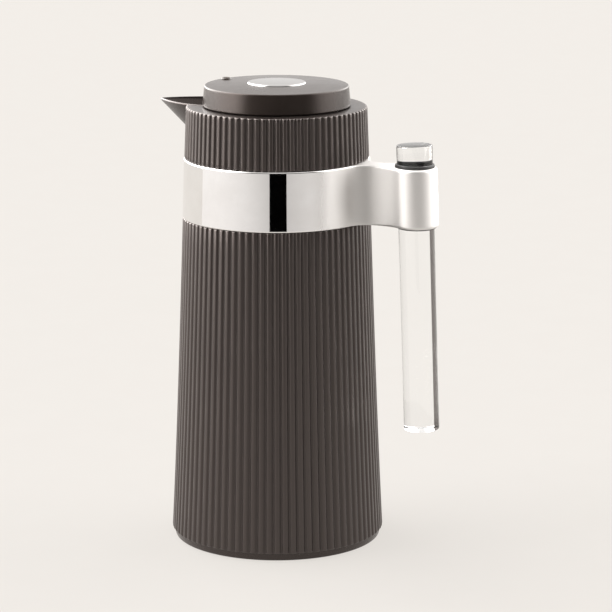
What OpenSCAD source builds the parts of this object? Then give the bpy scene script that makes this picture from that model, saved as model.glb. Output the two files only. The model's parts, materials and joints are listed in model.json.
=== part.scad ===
// Insulated coffee jug with a press-button stopper, a beak spout, a chrome strap and a clear rod handle.
// Millimetres. Z is the jug's own axis and Z = 0 is the table. +X points to the handle, -X to the spout.

/* [Body] */
// Height from the table to the top of the lid
jug_h = 290; // [286:0.5:294]
// Radius over the rib crests at the foot
base_r = 67.6; // [67:0.1:68.5]
// Radius over the rib crests just under the strap
shoulder_r = 59.2; // [59:0.1:59.6]
// Share of the foot's radius that comes from the flare at the very bottom
flare = 1.25; // [0:0.05:2]
// Number of ribs round the body and the collar
rib_count = 82; // [60:1:90]
// Depth of the valleys between the ribs
rib_depth = 1.0; // [0.6:0.05:1.1]
// Wall of the casing, behind the ribs
casing_t = 2.5; // [2:0.1:2.6]
// Height of the smooth foot below the ribs
foot_h = 4.8; // [4.6:0.1:5.2]
// Radius of the smooth foot
foot_r = 65.4; // [65:0.1:66]

/* [Strap and handle] */
// Height of the strap
strap_h = 37.3; // [36:0.1:38]
// Wall of the strap
strap_t = 2.2; // [1.8:0.1:2.3]
// Distance from the jug's axis to the narrowest place of the arm
waist_x = 69; // [68:0.5:70]
// Half the width of the arm at its narrowest place
waist_half = 7; // [6:0.25:8]
// Radius of the round end that holds the rod
eye_r = 13.9; // [13.6:0.1:14.4]
// Diameter of the rod
rod_d = 22; // [21:0.5:22]
// Length of the rod
rod_len = 179; // [170:1:182]
// Outward lean of the rod, in degrees
rod_lean = 2.1; // [1.5:0.1:2.5]
// Distance from the jug's axis to the rod's axis, half way up the strap
rod_x = 93.6; // [93:0.1:94.5]
// How far the rod stands above the strap
rod_stub = 13.6; // [10:0.2:15]
// How far the dark bush round the rod stands above the strap
bush_rise = 1.2; // [0.6:0.1:2]

/* [Collar and spout] */
// Height of the collar
collar_h = 32.2; // [32:0.1:32.6]
// Radius over the collar's ribs at its lower edge
collar_r = 57.9; // [57.6:0.1:58.2]
// Radius that the collar loses from its lower edge to its upper edge
collar_taper = 1.3; // [1:0.1:1.6]
// Distance from the jug's axis to the tip of the spout
spout_reach = 81.2; // [78:0.2:82]
// Height of the spout's rim above the collar
spout_rise = 0.4; // [0.3:0.1:0.6]
// Slope of the spout's keel, in degrees
keel_slope = 41.5; // [40:0.5:43]

/* [Lid and button] */
// Radius of the lid
lid_r = 45.75; // [45:0.25:46]
// Height of the lid's side
lid_h = 13; // [12.5:0.1:13.5]
// Gap between the lid and the collar
lid_gap = 0.8; // [0.5:0.1:1]
// Radius of the button
button_r = 18.2; // [17.8:0.1:18.4]
// How far the button stands above the lid
button_rise = 1.2; // [0.8:0.1:1.6]

/* [Vacuum flask] */
// Outer radius of the outer glass
flask_r = 51.5; // [50:0.25:52]
// Wall of each glass
glass_t = 1.8; // [1.5:0.1:2]
// Vacuum gap between the two glasses
vacuum_gap = 3.7; // [3:0.1:4]
// Inner radius of the glass neck
neck_r = 23.8; // [23.4:0.1:24]

/* [Hidden] */
$fn = 96;

// Heights, from the top down
lid_z = jug_h - lid_h;
collar_top = lid_z - lid_gap;
collar_z = collar_top - collar_h;
strap_top = collar_z - 0.1;
strap_z = strap_top - strap_h;
strap_mid = (strap_top + strap_z) / 2;
spigot_top = collar_z + 12;
lip_z = collar_z - 8;
skin_t = 2.5;
spigot_r = 52.6;

// Strap: the outer face tapers with the body
strap_r_low = shoulder_r + 0.2;
strap_r_high = strap_r_low - 1.1;
rod_r = rod_d / 2;
eye_bore = rod_r + 0.6;
rod_top = strap_top + rod_stub;
// Where the gap between the strap's two walls ends, at the web of the arm
gap_end = 65;

// Spout: the channel's floor inside the collar, the wall round it, and the funnel that it leads to
floor_z = collar_z + 14.4;
spout_wall = 1.5;
funnel_r = 38;
funnel_out = 40.2;

// Flask: where its bowl, shoulder and throat begin, and its lowest point
bowl_z = 58;
shoulder_z = 176;
throat_z = 206;
flask_bottom = 24;

// Threads are plain rings: n ridges of one height, with the given pitch
ridge_h = 1.2;
ridge_pitch = 4;
base_thread_r = base_r - 4;
plug_thread_r = 16.3;

// Stopper, measured from the lid's lower edge
stopper_r = 33;
stopper_wall = 2.2;
nose_z = lid_z - 36.4;
divider_z = lid_z - 17;
stem_r = 3;
running_gap = 0.08;
plug_r = 17;
guide_r = button_r + 0.4;
screw_ring = 38;
mark_r = 2.4;
mark_angle = 167.5;

graphite = [0.27, 0.25, 0.24];
black = [0.10, 0.10, 0.10];
chrome = [0.86, 0.86, 0.86];
steel = [0.72, 0.72, 0.74];
silicone = [0.88, 0.87, 0.84];
natural = [0.90, 0.89, 0.86];
dark = [0.20, 0.19, 0.18];
silvered = [0.78, 0.80, 0.82];
acrylic = [0.92, 0.94, 0.94, 0.45];

// Radius over the rib crests of the body at height z: a straight taper with a flare at the foot
function body_r(z) = let (t = (strap_z - z) / (strap_z - foot_h))
    shoulder_r + (base_r - shoulder_r - flare) * t + flare * t * t * t;

// Radius over the rib crests of the collar at height z
function crest_r(z) = collar_r - collar_taper * (z - collar_z) / collar_h;

// Outer radius of the strap at height z
function strap_r(z) = strap_r_low + (strap_r_high - strap_r_low) * (z - strap_z) / strap_h;

// Distance from the jug's axis to the rod's axis at height z
function rod_axis(z) = rod_x - (z - strap_mid) * tan(rod_lean);

// Outline of one glass: a shallow bowl, a straight side, an S-shaped shoulder and a neck
function glass_line(r, throat, bottom, top) = concat(
    [for (a = [0:9:90]) [r * sin(a), bowl_z - (bowl_z - bottom) * cos(a)]],
    [for (t = [0:0.1:1]) [throat + (r - throat) * (1 + cos(180 * t)) / 2,
        shoulder_z + (throat_z - shoulder_z) * t]],
    [[throat, top]]);

// Underside of the outer glass at radius r
function bowl_under(r) = bowl_z - (bowl_z - flask_bottom) * sqrt(1 - pow(r / flask_r, 2));

// Half width of the spout, seen from above, at a distance d from its tip: it bows out and then runs straight
function spout_half(d) = let (e = min(d, 36)) 1.05 * e - 0.0145 * e * e;

// Height of the spout's rim, which dips at the very tip and sinks into the collar's top
function rim_z(d) = collar_top + spout_rise * min(1, d / 2);

function reversed(list) = [for (i = [len(list) - 1:-1:0]) list[i]];

// A tube with the given radii from z0 to z1
module tube(z0, z1, r_out, r_in) {
    translate([0, 0, z0]) difference() {
        cylinder(h = z1 - z0, r = r_out);
        translate([0, 0, -1]) cylinder(h = z1 - z0 + 2, r = r_in);
    }
}

// Ridges of a thread, between a root radius and a crest radius
module ridges(z0, count, r_out, r_in) {
    for (i = [0:count - 1])
        tube(z0 + i * ridge_pitch, z0 + i * ridge_pitch + ridge_h, r_out, r_in);
}

// A solid skinned over rings of points that all have the same count; each end is closed round its middle
module skin(rings) {
    n = len(rings[0]);
    last = (len(rings) - 1) * n;
    middles = [mean(rings[0]), mean(rings[len(rings) - 1])];
    polyhedron(
        points = concat([for (ring = rings) for (p = ring) p], middles),
        faces = concat(
            [for (i = [0:n - 1]) [i, (i + 1) % n, last + n]],
            [for (i = [0:n - 1]) [last + (i + 1) % n, last + i, last + n + 1]],
            [for (k = [0:len(rings) - 2]) for (i = [0:n - 1]) let (j = (i + 1) % n)
                [k * n + i, (k + 1) * n + i, (k + 1) * n + j]],
            [for (k = [0:len(rings) - 2]) for (i = [0:n - 1]) let (j = (i + 1) % n)
                [k * n + i, (k + 1) * n + j, k * n + j]]));
}

// Middle of a ring of points
function mean(ring) = [for (axis = [0:2]) total([for (p = ring) p[axis]]) / len(ring)];
function total(list) = list * [for (x = list) 1];

// One level of a ribbed wall: two points on each crest and two in each valley
rib_points = [[0.14, 0], [0.36, 1], [0.64, 1], [0.86, 0]];
function rib_ring(z, r, depth) = [for (i = [0:rib_count - 1]) for (p = rib_points)
    let (a = 360 * (i + p[0]) / rib_count, rr = r - depth * p[1]) [rr * cos(a), rr * sin(a), z]];

module body_shell() {
    levels = [for (t = [0:0.25:1]) foot_h + 1.2 + (strap_z - foot_h - 1.2) * t];
    neck_in = spigot_r - skin_t;
    thread_top = 18;
    color(graphite) {
        difference() {
            union() {
                skin(concat(
                    [rib_ring(foot_h, body_r(foot_h) - 0.9 * rib_depth, 0.1)],
                    [for (z = levels) rib_ring(z, body_r(z), rib_depth)]));
                rotate_extrude() polygon([[0, strap_z - 6], [seat_r(strap_z), strap_z - 6],
                    [seat_r(strap_z), strap_z], [seat_r(strap_top), strap_top],
                    [spigot_r, strap_top], [spigot_r, spigot_top], [0, spigot_top]]);
            }
            rotate_extrude() polygon(concat(
                [[0, 0], [base_thread_r, 0], [base_thread_r, thread_top]],
                [for (z = [thread_top + 4:46:strap_z - 4]) [body_r(z) - rib_depth - casing_t, z]],
                [[seat_r(strap_z) - skin_t, strap_z], [seat_r(strap_top) - skin_t, strap_top - 6],
                    [neck_in, strap_top - 2], [neck_in, spigot_top + 1], [0, spigot_top + 1]]));
        }
        ridges(foot_h + 4, 2, base_thread_r + 0.3, base_thread_r - 0.7);
        ridges(collar_z + 3, 2, spigot_r + 0.9, spigot_r - 0.3);
    }
}
function seat_r(z) = strap_r(z) - strap_t - 0.1;

module base_cap() {
    skirt_r = base_thread_r - 0.8;
    color(graphite) {
        rotate_extrude() polygon([[plug_thread_r, 3], [56.5, 3], [57.5, 0.5], [58.5, 0.5], [58.5, 2.1],
            [62.5, 2.1], [62.5, 0.5], [foot_r - 0.9, 0.5], [foot_r, 1.4], [foot_r, foot_h - 0.05],
            [skirt_r, foot_h - 0.05], [skirt_r, 16], [skirt_r - 2.2, 16], [skirt_r - 2.2, 5.4],
            [plug_thread_r + 2.7, 5.4], [plug_thread_r + 2.7, 16.5], [plug_thread_r, 16.5]]);
        ridges(foot_h + 2, 2, skirt_r + 0.6, skirt_r - 0.3);
        ridges(7, 2, plug_thread_r + 0.3, plug_thread_r - 0.7);
    }
}

module foot_pad_ring() {
    color(black) tube(0, 2, 62.4, 58.6);
}

module flask_adjuster() {
    coin_slot = [24, 3, 2.5];
    color(natural) {
        difference() {
            union() {
                translate([0, 0, 2.8]) cylinder(h = 15, r = plug_thread_r - 1);
                translate([0, 0, 17.5]) cylinder(h = 2.5, r = 24);
            }
            translate([-coin_slot.x / 2, -coin_slot.y / 2, 2.8 - 0.5]) cube(coin_slot);
            translate([0, 0, 12]) cylinder(h = 10, r = 6);
        }
        ridges(5, 2, plug_thread_r - 0.3, plug_thread_r - 1.3);
    }
}

module flask_cushion() {
    color(black) rotate_extrude() polygon(concat(
        [[9, 20.05], [20, 20.05], [34, 28]],
        [for (r = [34:-5:9]) [r, bowl_under(r) - 0.15]]));
}

module outer_glass() {
    line = glass_line(flask_r, neck_r + glass_t + 3.4, flask_bottom, lip_z - 4);
    lining = glass_line(flask_r - glass_t, neck_r + 3.4, flask_bottom + glass_t, lip_z - 4);
    color(silvered) {
        rotate_extrude() polygon(concat(line, reversed(lining)));
        translate([0, 0, 15]) cylinder(h = flask_bottom - 14.5, r1 = 1.2, r2 = 3.4);
    }
}

module inner_glass() {
    outer = flask_r - glass_t - vacuum_gap;
    line = glass_line(outer, neck_r + glass_t, flask_bottom + glass_t + 5, lip_z - 4);
    lining = glass_line(outer - glass_t, neck_r, flask_bottom + 2 * glass_t + 5, lip_z - 1);
    lip_r = neck_r + glass_t + 3.4;
    color(silvered) rotate_extrude() polygon(concat(line,
        [[lip_r, lip_z - 4], [lip_r, lip_z - 1], [lip_r - 1, lip_z], [neck_r + 1, lip_z]],
        reversed(lining)));
}

module flask_spacers() {
    outside = flask_r - glass_t - 0.05;
    inside = outside - vacuum_gap + 0.1;
    color(natural) for (a = [30:120:270])
        intersection() {
            rotate([0, 0, a]) translate([inside - 3, 0, 70]) rotate([0, 90, 0]) cylinder(h = 10, r = 5);
            tube(60, 80, outside, inside);
        }
}

module neck_gasket() {
    inside = neck_r + 0.8;
    lip_r = neck_r + glass_t + 3.4;
    color(silicone) rotate_extrude() polygon([[inside, lip_z + 0.05], [lip_r + 0.2, lip_z + 0.05],
        [lip_r + 0.2, lip_z - 9], [lip_r + 2, lip_z - 9], [lip_r + 2, lip_z + 2.5], [inside, lip_z + 2.5]]);
}

// The spout's outline seen from above, drawn in by inset, between two distances from its tip
module spout_slab(d0, d1, inset, z0, z1) {
    stations = [for (k = [0:8]) d0 + (d1 - d0) * k / 8];
    translate([0, 0, z0]) linear_extrude(z1 - z0) polygon(concat(
        [for (d = stations) [d - spout_reach, -max(0.1, spout_half(d) - inset)]],
        [for (d = reversed(stations)) [d - spout_reach, max(0.1, spout_half(d) - inset)]]));
}

// One section of the beak: a V with a softened keel, closed at its top or carried up by lift
function beak_section(d, inset, lift) = let (
        x = d - spout_reach, w = spout_half(d) - inset, top = rim_z(d),
        k = max(0.3, (d - 1.4 * inset) * tan(keel_slope)))
    concat([for (s = [-1:0.25:1]) [x, w * s, top - k * (1 - pow(abs(s), 1.25))]],
        lift > 0 ? [[x, w, top + lift], [x, -w, top + lift]] : []);

module shoulder_collar() {
    collar_in = crest_r(collar_top) - rib_depth - 1.7;
    opening = funnel_out + 0.2;
    d_wall = spout_reach - collar_in;
    d_end = spout_reach - opening + 3;
    color(graphite) difference() {
        union() {
            difference() {
                union() {
                    skin([rib_ring(collar_z, crest_r(collar_z), rib_depth),
                        rib_ring(collar_top - 1, crest_r(collar_top), rib_depth),
                        rib_ring(collar_top, crest_r(collar_top) - 0.7, 0.3)]);
                    skin([for (d = [0.4, 3, 7, 12, 17, 22, d_wall + 1]) beak_section(d, 0, 0)]);
                }
                translate([0, 0, collar_z - 30]) cylinder(h = 30 + collar_h - 2.5, r = collar_in);
                translate([0, 0, collar_top - 5]) cylinder(h = 10, r = opening);
            }
            ridges(collar_z + 5, 1, collar_in + 0.3, spigot_r + 0.3);
            tube(floor_z, floor_z + 1.5, collar_in + 0.3, collar_in - 2.5);
            difference() {
                spout_slab(d_wall + 0.8, d_end, 0, floor_z, collar_top - 1);
                translate([0, 0, floor_z - 1]) cylinder(h = 40, r = opening);
            }
        }
        skin([for (d = [2.6, 7, 12, 17, 22, d_wall + 2.2]) hollow_section(d)]);
        spout_slab(d_wall + 1.7, d_end + 4, spout_wall, floor_z + 1.5, collar_top + 5);
    }
}
// The beak's hollow stops at the level of the channel's floor
function hollow_section(d) = [for (p = beak_section(d, spout_wall, 6)) [p.x, p.y, max(p.z, floor_z + 1.5)]];

module pour_funnel() {
    seat = lip_z + 2.6;
    window = [8, 33, 30];
    color(dark) difference() {
        union() {
            rotate_extrude() polygon([[24.6, seat], [24.6, seat + 1.6], [funnel_r, seat + 11.9],
                [funnel_r, collar_top - 0.2], [funnel_out, collar_top - 0.2],
                [funnel_out, spigot_top + 2.3], [53.2, spigot_top + 2.3], [53.2, spigot_top + 0.1],
                [funnel_out, spigot_top + 0.1], [funnel_out, seat + 11], [31, seat + 4], [31, seat]]);
            ridges(collar_top - 11.8, 2, funnel_r + 0.3, funnel_r - 1.4);
        }
        translate([-funnel_out - 3, -window.y / 2, floor_z + 1.5]) cube(window);
    }
}

// The rod's own frame: Z runs along the rod, and its origin is half way up the strap
module along_rod() {
    translate([rod_x, 0, strap_mid]) rotate([0, -rod_lean, 0]) children();
}

module strap_band() {
    // Radii of the two hollows of the arm, so that each runs smoothly into the next round
    band_r = strap_r(strap_mid);
    gap = band_r - waist_half;
    inner_hollow = (waist_x * waist_x / gap - band_r - waist_half) / 2;
    reach = rod_x - waist_x;
    step = eye_r - waist_half;
    outer_hollow = (reach * reach / step - eye_r - waist_half) / 2;
    tangent_x = waist_x * band_r / (band_r + inner_hollow);
    leave_x = waist_x + reach * outer_hollow / (outer_hollow + eye_r);
    leave_y = waist_half + outer_hollow * (1 - (waist_half + outer_hollow) / (outer_hollow + eye_r));
    tall = 3 * strap_h;
    color(chrome) difference() {
        union() {
            rotate_extrude() polygon([[0, strap_z], [strap_r_low, strap_z], [strap_r_high, strap_top],
                [0, strap_top]]);
            intersection() {
                along_rod() {
                    translate([0, 0, -tall / 2]) cylinder(h = tall, r = eye_r);
                    difference() {
                        translate([tangent_x - rod_x, -leave_y, -tall / 2])
                            cube([leave_x - tangent_x, 2 * leave_y, tall]);
                        for (side = [-1, 1]) {
                            translate([waist_x - rod_x, side * (waist_half + outer_hollow), -tall])
                                cylinder(h = 2 * tall, r = outer_hollow);
                        }
                    }
                    difference() {
                        translate([tangent_x - rod_x - 4, -17, -tall / 2])
                            cube([waist_x - tangent_x + 4, 34, tall]);
                        for (side = [-1, 1]) {
                            translate([waist_x - rod_x, side * (waist_half + inner_hollow), -tall])
                                cylinder(h = 2 * tall, r = inner_hollow);
                        }
                    }
                }
                translate([0, -50, strap_z]) cube([200, 100, strap_h]);
            }
        }
        rotate_extrude() polygon([[0, strap_z - 1], [strap_r_low - strap_t, strap_z - 1],
            [strap_r_low - strap_t, strap_z], [strap_r_high - strap_t, strap_top],
            [strap_r_high - strap_t, strap_top + 1], [0, strap_top + 1]]);
        along_rod() translate([0, 0, -tall / 2]) cylinder(h = tall, r = eye_bore);
        arm_gap(inner_hollow);
        translate([60, 0, strap_mid]) rotate([0, 90, 0]) cylinder(h = 30, r = 2.2);
        translate([60, 0, strap_mid]) rotate([0, 90, 0]) cylinder(h = gap_end + 3.6 - 60, r = 4.6);
    }
}
// The gap between the strap's two walls, from the casing to the web of the arm. It is closed at its top.
module arm_gap(inner_hollow) {
    gap_h = strap_h - strap_t + 1;
    difference() {
        translate([50, -12, strap_z - 1]) cube([gap_end - 50, 24, gap_h]);
        for (side = [-1, 1])
            translate([waist_x, side * (waist_half + inner_hollow), strap_z - 2])
                cylinder(h = gap_h + 2, r = inner_hollow + strap_t);
    }
}

// A bush for the rod: a sleeve in the arm's bore, from z0 to z1
module rod_bush(z0, z1) {
    color(black) difference() {
        intersection() {
            along_rod() translate([0, 0, -strap_h]) cylinder(h = 2 * strap_h, r = eye_bore - 0.05);
            translate([rod_x - 20, -20, z0]) cube([40, 40, z1 - z0]);
        }
        along_rod() translate([0, 0, -strap_h]) cylinder(h = 2 * strap_h, r = rod_r + 0.05);
    }
}
module rod_bush_upper() {
    rod_bush(strap_top - 8, strap_top + bush_rise);
}
module rod_bush_lower() {
    rod_bush(strap_z + 0.2, strap_z + 8);
}

module rod_screw() {
    head_x = gap_end + 0.6;
    color(steel) {
        translate([head_x, 0, strap_mid]) rotate([0, 90, 0]) difference() {
            cylinder(h = 2.2, r = 3.8);
            translate([0, 0, -1]) cylinder(h = 2.4, r = 1.8, $fn = 6);
        }
        translate([head_x + 2, 0, strap_mid]) rotate([0, 90, 0]) cylinder(h = 23, r = 2);
    }
}

module rod_screw_washer() {
    color(steel) translate([gap_end + 2.82, 0, strap_mid]) rotate([0, 90, 0]) difference() {
        cylinder(h = 0.75, r = 4.4);
        translate([0, 0, -1]) cylinder(h = 3, r = 2.15);
    }
}

module handle_rod() {
    top = (rod_top - strap_mid) / cos(rod_lean);
    chamfer = 0.9;
    color(acrylic) difference() {
        along_rod() rotate_extrude() polygon([[0, top], [rod_r - chamfer, top], [rod_r, top - chamfer],
            [rod_r, top - rod_len + chamfer], [rod_r - chamfer, top - rod_len], [0, top - rod_len]]);
        translate([rod_x - 20, 0, strap_mid]) rotate([0, 90, 0]) cylinder(h = 18, r = 2.05);
    }
}

module stopper_gasket() {
    color(silicone) rotate_extrude() polygon([[23 + running_gap, nose_z + 2.1], [26.8, nose_z + 2.1],
        [30.7, nose_z + 5], [23 + running_gap, nose_z + 5]]);
}

module stopper_body() {
    flange_z = lid_z + 0.4;
    bore = stopper_r - stopper_wall;
    color(dark) difference() {
        union() {
            rotate_extrude() polygon([[13.5, nose_z], [24, nose_z], [24, nose_z + 2.02], [23, nose_z + 2.02],
                [23, nose_z + 5.08], [31, nose_z + 5.08], [stopper_r, nose_z + 6.8], [stopper_r, flange_z],
                [42.8, flange_z], [42.8, flange_z + 2.4], [bore, flange_z + 2.4], [bore, nose_z + 8],
                [20.5, nose_z + 6], [20.5, nose_z + 2.4], [13.5, nose_z + 2.4]]);
            ridges(collar_top - 14.7, 2, stopper_r + 3, stopper_r - 0.3);
            translate([0, 0, divider_z]) cylinder(h = 2, r = bore + 0.3);
            translate([0, 0, divider_z - 5]) cylinder(h = 10, r = 6.5);
        }
        translate([0, 0, divider_z - 10]) cylinder(h = 20, r = stem_r + running_gap);
        translate([0, 0, divider_z + 3]) cylinder(h = 5, r = 5);
        for (a = [45:90:315])
            rotate([0, 0, a]) translate([bore - 3, -8, nose_z + 9]) cube([9, 16, 8.4]);
        for (a = [0:120:240])
            rotate([0, 0, a]) translate([screw_ring, 0, flange_z - 1]) {
                cylinder(h = 5, r = 1.7);
                cylinder(h = 2.4, r = 3.1);
            }
    }
}

module lid_cap() {
    inside = lid_r - 2.5;
    boss_z = lid_z + 2.85;
    plate_z = jug_h - skin_t;
    color(graphite) difference() {
        union() {
            rotate_extrude() polygon([[guide_r, plate_z], [inside, plate_z], [inside, lid_z],
                [lid_r - 0.4, lid_z], [lid_r, lid_z + 0.4], [lid_r, jug_h - 1.5], [lid_r - 0.45, jug_h - 0.45],
                [lid_r - 1.5, jug_h], [guide_r, jug_h]]);
            for (a = [0:120:240])
                rotate([0, 0, a]) translate([screw_ring, 0, boss_z]) cylinder(h = plate_z - boss_z + 0.3, r = 4);
        }
        for (a = [0:120:240])
            rotate([0, 0, a]) translate([screw_ring, 0, boss_z - 1]) cylinder(h = 8, r = 1.55);
        mark_place() cylinder(h = 5, r = mark_r + 0.05);
    }
}
// The dot that shows how far the lid is turned: near the rim, past the spout
module mark_place() {
    rotate([0, 0, mark_angle]) translate([lid_r - 6.1, 0, jug_h - 0.6]) children();
}

module lid_mark() {
    color(graphite) mark_place() cylinder(h = 0.45, r = mark_r);
}

module button_guide() {
    top = jug_h - skin_t - 0.05;
    color(dark) rotate_extrude() polygon([[guide_r, top - 7.8], [guide_r + 2, top - 7.8],
        [guide_r + 2, top - 2], [24, top - 2], [24, top], [guide_r, top]]);
}

module stem_seal() {
    color(silicone) tube(divider_z + 3.05, divider_z + 4.95, 4.95, stem_r + running_gap);
}

module lid_screws() {
    color(steel) for (a = [0:120:240])
        rotate([0, 0, a]) translate([screw_ring, 0, lid_z + 0.5]) {
            difference() {
                cylinder(h = 1.25, r = 2.9);
                translate([-2.2, -0.4, -1]) cube([4.4, 0.8, 1.6]);
            }
            translate([0, 0, 1]) cylinder(h = 8, r = 1.5);
        }
}

module push_button() {
    top = jug_h + button_rise;
    stop_z = jug_h - skin_t - 8;
    color(chrome) rotate_extrude() polygon([[0, top - 4.2], [stem_r + 0.02, top - 4.2],
        [stem_r + 0.02, top - 11], [stem_r + 2.5, top - 11], [stem_r + 2.5, top - 4.2],
        [button_r - 1.8, top - 4.2], [button_r - 1.8, stop_z - 1.4], [button_r + 1.9, stop_z - 1.4],
        [button_r + 1.9, stop_z - 0.2], [button_r, stop_z - 0.2], [button_r, top - 1], [button_r - 0.3, top - 0.3],
        [button_r - 1, top], [button_r * 0.5, top + 0.25], [0, top + 0.35]]);
}

module valve_stem() {
    color(steel) translate([0, 0, nose_z - 8.8]) cylinder(h = jug_h + button_rise - 4.25 - nose_z + 8.8, r = stem_r);
}

module valve_plug() {
    top = nose_z - 1.2;
    color(dark) rotate_extrude() polygon([[stem_r + 0.02, top - 4.4], [plug_r - 1, top - 4.4],
        [plug_r, top - 3.4], [plug_r, top], [plug_r - 0.3, top], [plug_r - 0.3, top - 1.4],
        [13.2, top - 1.4], [13.2, top], [5, top], [5, top + 3.6], [stem_r + 0.02, top + 3.6]]);
}

module valve_seal() {
    color(silicone) tube(nose_z - 2.55, nose_z - 0.05, plug_r - 0.4, 13.3);
}

module plug_clip() {
    color(steel) tube(nose_z - 7.4, nose_z - 5.65, 5.5, stem_r + 0.02);
}

// A coil spring: the wire's section swept round a helix
module return_spring() {
    turns = 6;
    per_turn = 18;
    wire_r = 0.7;
    coil_r = 9;
    low = divider_z + 2 + wire_r + 0.1;
    high = jug_h + button_rise - 4.2 - wire_r - 0.1;
    color(steel) skin([for (i = [0:turns * per_turn]) let (a = 360 * i / per_turn,
            z = low + (high - low) * i / (turns * per_turn))
        [for (b = [0:60:300]) let (r = coil_r + wire_r * cos(b))
            [r * cos(a), r * sin(a), z - wire_r * sin(b)]]]);
}

body_shell();
base_cap();
foot_pad_ring();
flask_adjuster();
flask_cushion();
outer_glass();
inner_glass();
flask_spacers();
neck_gasket();
shoulder_collar();
pour_funnel();
strap_band();
rod_bush_upper();
rod_bush_lower();
rod_screw();
rod_screw_washer();
handle_rod();
stopper_gasket();
stopper_body();
lid_cap();
lid_mark();
button_guide();
stem_seal();
lid_screws();
push_button();
valve_stem();
valve_plug();
valve_seal();
plug_clip();
return_spring();
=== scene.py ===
import json
import math

import bpy
import numpy as np
from mathutils import Matrix, Vector


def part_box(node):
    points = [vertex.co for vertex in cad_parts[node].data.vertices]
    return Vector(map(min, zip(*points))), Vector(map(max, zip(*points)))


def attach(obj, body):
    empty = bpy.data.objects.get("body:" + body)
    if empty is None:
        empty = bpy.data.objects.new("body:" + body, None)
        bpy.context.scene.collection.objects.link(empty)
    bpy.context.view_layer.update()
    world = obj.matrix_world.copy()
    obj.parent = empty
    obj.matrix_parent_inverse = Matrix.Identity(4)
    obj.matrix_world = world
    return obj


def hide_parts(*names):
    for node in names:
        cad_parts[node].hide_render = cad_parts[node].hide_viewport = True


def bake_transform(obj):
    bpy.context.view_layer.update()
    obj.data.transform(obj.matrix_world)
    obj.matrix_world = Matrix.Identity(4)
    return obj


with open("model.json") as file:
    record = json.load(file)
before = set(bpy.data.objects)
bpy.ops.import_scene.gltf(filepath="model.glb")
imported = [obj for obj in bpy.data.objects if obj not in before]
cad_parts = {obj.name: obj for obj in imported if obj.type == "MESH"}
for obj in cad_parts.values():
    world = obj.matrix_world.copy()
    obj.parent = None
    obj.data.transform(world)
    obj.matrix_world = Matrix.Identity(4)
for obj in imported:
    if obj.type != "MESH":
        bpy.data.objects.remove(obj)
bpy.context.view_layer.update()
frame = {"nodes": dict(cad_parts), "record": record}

# The looks of the insulated jug. Lengths are in millimetres until a mesh is made, and MM turns them
# into metres. Materials and the camera are in metres.
MM = 0.001
TURN = 2 * math.pi


def box(node):
    """Lowest and highest corner of a CAD node, in millimetres."""
    return [Vector(corner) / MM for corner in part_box(node)]


# ---------------------------------------------------------------- sizes, from the frame

shell_low, shell_high = box("body_shell")
_, cap_high = box("base_cap")
strap_low, strap_high = box("strap_band")
collar_low, collar_high = box("shoulder_collar")
lid_low, lid_high = box("lid_cap")
mark_low, mark_high = box("lid_mark")
_, guide_high = box("button_guide")
button_low, button_high = box("push_button")
bush_low, bush_high = box("rod_bush_upper")
under_low, under_high = box("rod_bush_lower")
spring_low, spring_high = box("return_spring")

# Ribs, the same on casing and collar. A crest of the casing points at the handle, and the collar's
# ribs are turned a little against the casing's.
rib_count = 82
rib_depth = 1.1
groove_sharpness = 2.3
points_per_rib = 20
rib_end_steps = 7
collar_phase = math.radians(1.0)

# Casing: its wall, and how much more than a straight cone it widens towards the foot
foot_z = shell_low.z
base_r = -shell_low.x
casing_t = 2.4
flare = 1.25

# Strap: radius at its lower and upper edge, and its wall. The casing ends just inside its lower edge.
strap_z = strap_low.z
strap_top = strap_high.z
strap_mid = (strap_z + strap_top) / 2
strap_taper = 1.1
strap_r_low = strap_high.y
strap_r_high = strap_r_low - strap_taper
strap_t = 2.2
shoulder_r = strap_r_low - 0.2

# The rod's axis runs through the middles of the two bushes. The eye is the arm's round end, and the
# waist is the narrow part between it and the band.
bush_mid = (bush_low + bush_high) / 2
under_mid = (under_low + under_high) / 2
lean = math.atan2(under_mid.x - bush_mid.x, bush_mid.z - under_mid.z)
rod_x = bush_mid.x + (bush_mid.z - strap_mid) * math.tan(lean)
rod_r = 11
rod_len = 179
rod_above_strap = 13.6
rod_top = strap_top + rod_above_strap
rod_hole_r = 2.05
rod_hole_deep = 18
eye_r = strap_high.x - rod_x - (strap_mid - strap_z) * math.tan(lean)
eye_bore = rod_r + 0.6
waist_x = 69
waist_half = 7

# Collar: wall_in is the inner radius of its wall, and opening_r that of the opening the funnel fills
collar_z = collar_low.z
collar_r = collar_high.x
collar_taper = 1.3
collar_t = 1.6
lid_gap = 0.8
collar_top = lid_low.z - lid_gap
opening_r = 40.4
wall_in = collar_r - collar_taper - rib_depth - collar_t

# Spout: its sharp tip lies 0.4 mm beyond the CAD's blunt one, and distances along it start there
spout_reach = 0.4 - collar_low.x
spout_start = 0.35
spout_wall = 1.5
spout_floor = collar_z + 14.4
spout_rise = collar_high.z - collar_top
keel_slope = math.tan(math.radians(41.5))

# Lid and button: guide_r is the lid's hole round the button
lid_r = lid_high.y
lid_z = lid_low.z
lid_top = lid_high.z
mark_mid = (mark_low + mark_high) / 2
mark_r = (mark_high.x - mark_low.x) / 2
button_top = button_high.z
guide_r = 18.6
button_gap = 0.4
button_r = guide_r - button_gap

# Small gaps that keep faces of neighbouring pieces apart
hairline = 0.05
seat_gap = 0.1


def body_r(z):
    """Radius over the rib crests of the casing."""
    t = (strap_z - z) / (strap_z - foot_z)
    return shoulder_r + (base_r - shoulder_r - flare) * t + flare * t ** 3


def collar_crest(z):
    """Radius over the rib crests of the collar."""
    return collar_r - collar_taper * (z - collar_z) / (collar_top - collar_z)


def strap_r(z):
    """Outer radius of the strap."""
    return strap_r_low + (strap_r_high - strap_r_low) * (z - strap_z) / (strap_top - strap_z)


# ---------------------------------------------------------------- mesh helpers

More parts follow.
